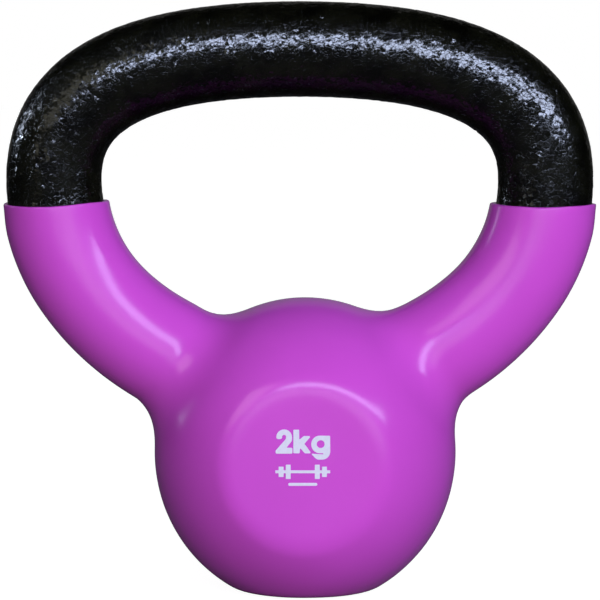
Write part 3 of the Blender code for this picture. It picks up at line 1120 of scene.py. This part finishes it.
def area_light(name, place, size, colour, power):
    """A soft rectangular light aimed at the kettlebell.

    Its place is (azimuth, elevation, distance). Azimuth 0 is in front and 90 is out along +X.
    """
    azimuth, elevation = (math.radians(angle) for angle in place[:2])
    flat = math.cos(elevation)
    way = Vector((math.sin(azimuth) * flat, -math.cos(azimuth) * flat, math.sin(elevation)))
    light = bpy.data.lights.new(name, "AREA")
    light.shape = "RECTANGLE"
    light.size, light.size_y = size
    light.energy = power
    light.color = colour
    lamp = bpy.data.objects.new(name, light)
    lamp.location = LIGHT_AIM + way * place[2]
    lamp.rotation_euler = way.to_track_quat("Z", "Y").to_euler()
    bpy.context.scene.collection.objects.link(lamp)
    return lamp


def shine_only(lamp, pieces):
    """Keeps a light to the reflections in these pieces."""
    lamp.visible_diffuse = False
    lit = bpy.data.collections.new(lamp.name + " lights")
    for piece in pieces:
        lit.objects.link(bpy.data.objects[piece])
    lamp.light_linking.receiver_collection = lit


def by_ray(tree, kind, first, second):
    """Mixes two shaders: the second is what the camera sees, and the first is for all else."""
    rays = node(tree, "ShaderNodeLightPath")
    inputs = {0: rays.outputs["Is Camera Ray"], 1: first, 2: second}
    mix = node(tree, "ShaderNodeMixShader", inputs)
    tree.links.new(mix.outputs[0], node(tree, kind).inputs[0])


def studio_world():
    """White to the camera, and a soft room to everything else: bright behind, dim below."""
    world = bpy.data.worlds.new("Studio")
    world.use_nodes = True
    tree = world.node_tree
    tree.nodes.clear()
    way = node(tree, "ShaderNodeTexCoord").outputs["Generated"]
    parts = node(tree, "ShaderNodeSeparateXYZ", {0: way}).outputs
    room = remap(tree, parts["Z"], -0.5, 0.5, *ROOM_LIGHT)
    behind = remap(tree, parts["Y"], 0.79, 0.82, 0.0, BACKDROP_LIGHT)
    above = remap(tree, parts["Z"], -0.06, -0.03)
    front = remap(tree, parts["Y"], -0.2, -0.9, *FRONT_LIGHT)
    mirrored = maths(tree, "ADD", maths(tree, "MULTIPLY", behind, above), front)
    glossy = node(tree, "ShaderNodeLightPath").outputs["Is Glossy Ray"]
    strength = node(tree, "ShaderNodeMix", {0: glossy, 2: room, 3: mirrored}).outputs[0]
    soft = node(tree, "ShaderNodeBackground", {"Color": ROOM_TINT, "Strength": strength})
    white = node(tree, "ShaderNodeBackground", {"Color": WHITE, "Strength": 1.0})
    by_ray(tree, "ShaderNodeOutputWorld", soft.outputs[0], white.outputs[0])
    return world


def floor_material():
    """Pale to the camera, with the kettlebell's shade on it, and a dim grey to all else."""
    made = bpy.data.materials.new("Studio floor")
    made.use_nodes = True
    tree = made.node_tree
    tree.nodes.clear()
    pale = node(tree, "ShaderNodeEmission", {"Color": WHITE, "Strength": 0.96})
    matt = node(tree, "ShaderNodeBsdfDiffuse", {"Color": (0.3, 0.3, 0.3, 1)})
    dim = node(tree, "ShaderNodeBsdfDiffuse", {"Color": (0.2, 0.2, 0.2, 1)})
    seen = node(tree, "ShaderNodeAddShader", {0: pale.outputs[0], 1: matt.outputs[0]})
    by_ray(tree, "ShaderNodeOutputMaterial", dim.outputs[0], seen.outputs[0])
    return made


def studio_floor():
    disc = bmesh.new()
    bmesh.ops.create_circle(disc, cap_ends=True, segments=96, radius=FLOOR_RADIUS)
    mesh = bpy.data.meshes.new("studio_floor")
    disc.to_mesh(mesh)
    disc.free()
    mesh.materials.append(floor_material())
    floor = bpy.data.objects.new("studio_floor", mesh)
    floor.location.z = -FLOOR_GAP
    return floor


def studio_camera():
    back = Vector((0, -math.cos(CAMERA_ELEVATION), math.sin(CAMERA_ELEVATION)))
    lens = bpy.data.cameras.new("Camera")
    lens.lens = CAMERA_LENS
    lens.sensor_width = CAMERA_SENSOR
    camera = bpy.data.objects.new("Camera", lens)
    camera.location = CAMERA_AIM + back * CAMERA_DISTANCE
    camera.rotation_euler = back.to_track_quat("Z", "Y").to_euler()
    return camera


class KETTLEBELL_OT_stage(bpy.types.Operator):
    """Sets up the floor, the soft lights and the camera"""

    bl_idname = "kettlebell.stage"
    bl_label = "Stage"

    def execute(self, context):
        scene = context.scene
        scene.world = studio_world()
        scene.view_settings.view_transform = "Standard"
        floor = studio_floor()
        scene.collection.objects.link(floor)
        for name, (place, size, colour, pieces) in LAMPS.items():
            power = getattr(scene.kettlebell_studio, name)
            lamp = area_light(name, place, size, colour, power)
            if pieces:
                shine_only(lamp, pieces)
        bpy.data.objects["front_fill"].visible_glossy = False
        scene.camera = studio_camera()
        scene.collection.objects.link(scene.camera)
        return {"FINISHED"}


class KETTLEBELL_PT_build(bpy.types.Panel):
    bl_label = "Kettlebell"
    bl_idname = "KETTLEBELL_PT_build"
    bl_space_type = "VIEW_3D"
    bl_region_type = "UI"
    bl_category = "Kettlebell"

    def draw(self, context):
        for settings in ("kettlebell_sizes", "kettlebell_colours", "kettlebell_studio"):
            held = getattr(context.scene, settings)
            box = self.layout.box()
            for name in held.__annotations__:
                box.prop(held, name)
        for operator in OPERATORS:
            self.layout.operator(operator.bl_idname)


SETTINGS = {
    "kettlebell_sizes": KettlebellSizes,
    "kettlebell_colours": KettlebellColours,
    "kettlebell_studio": KettlebellStudio,
}
OPERATORS = (
    KETTLEBELL_OT_casting,
    KETTLEBELL_OT_enamel,
    KETTLEBELL_OT_coat,
    KETTLEBELL_OT_print,
    KETTLEBELL_OT_stage,
)


def register():
    for cls in (*SETTINGS.values(), *OPERATORS, KETTLEBELL_PT_build):
        bpy.utils.register_class(cls)
    for name, cls in SETTINGS.items():
        setattr(bpy.types.Scene, name, bpy.props.PointerProperty(type=cls))


def unregister():
    for name in SETTINGS:
        delattr(bpy.types.Scene, name)
    for cls in reversed((*SETTINGS.values(), *OPERATORS, KETTLEBELL_PT_build)):
        bpy.utils.unregister_class(cls)


def main():
    register()
    bpy.ops.kettlebell.casting()
    bpy.ops.kettlebell.enamel()
    bpy.ops.kettlebell.coat()
    bpy.ops.kettlebell.print()
    bpy.ops.kettlebell.stage()


if __name__ == "__main__":
    main()
